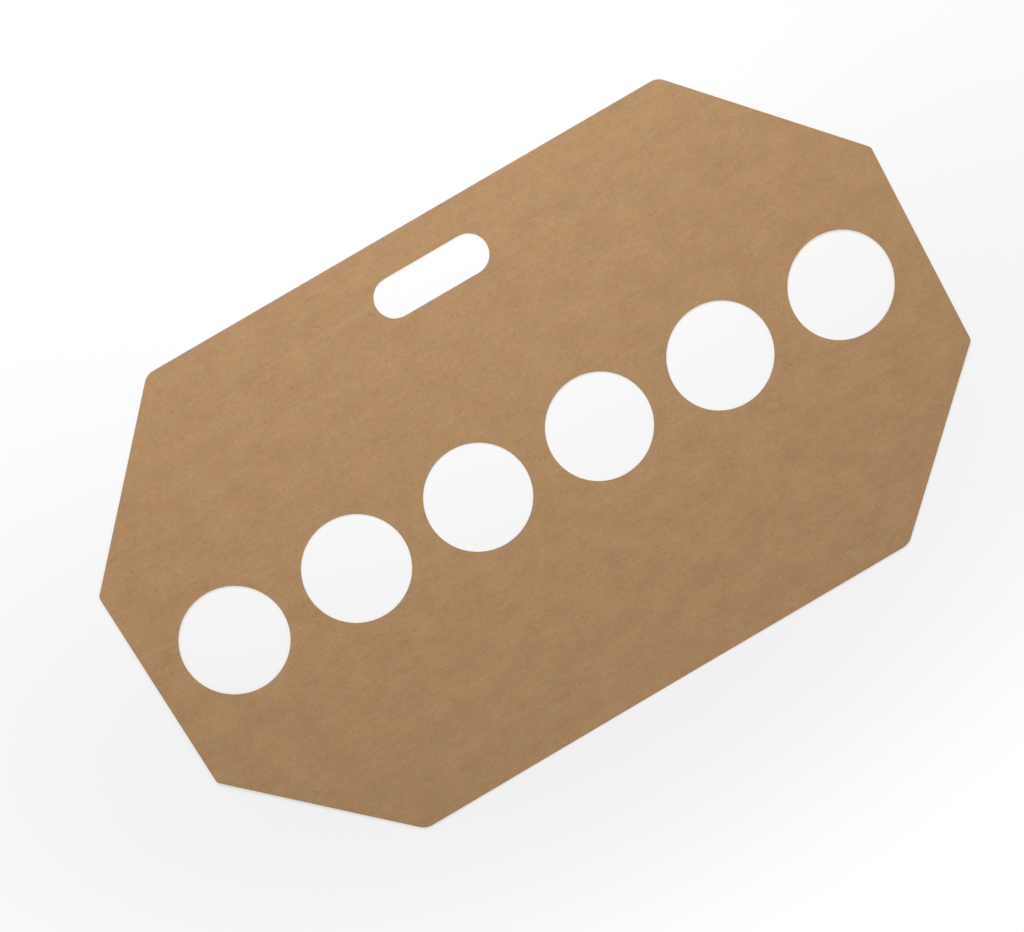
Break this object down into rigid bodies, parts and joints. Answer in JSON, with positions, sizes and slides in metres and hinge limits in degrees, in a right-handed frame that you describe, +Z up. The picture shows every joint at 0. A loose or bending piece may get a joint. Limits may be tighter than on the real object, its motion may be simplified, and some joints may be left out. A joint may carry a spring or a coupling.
{
  "type": "cup carrier",
  "caption": "Flat die-cut kraft board cup carrier: a long octagon with a row of round cup holes and a rounded hand slot near one long side.",
  "frame": {"origin": "middle of the board's underside, below the centre of the row of cup holes", "axes": "+X along the row of cup holes, +Y towards the hand slot, +Z up through the board"},
  "size_m": [0.6004, 0.366, 0.0005],
  "materials": {
    "kraft_board": "smooth uncoated brown kraft board, faint fibres and cloudy mottling"
  },
  "bodies": {
    "root": {"carrier_board": "kraft_board"}
  },
  "joints": []
}
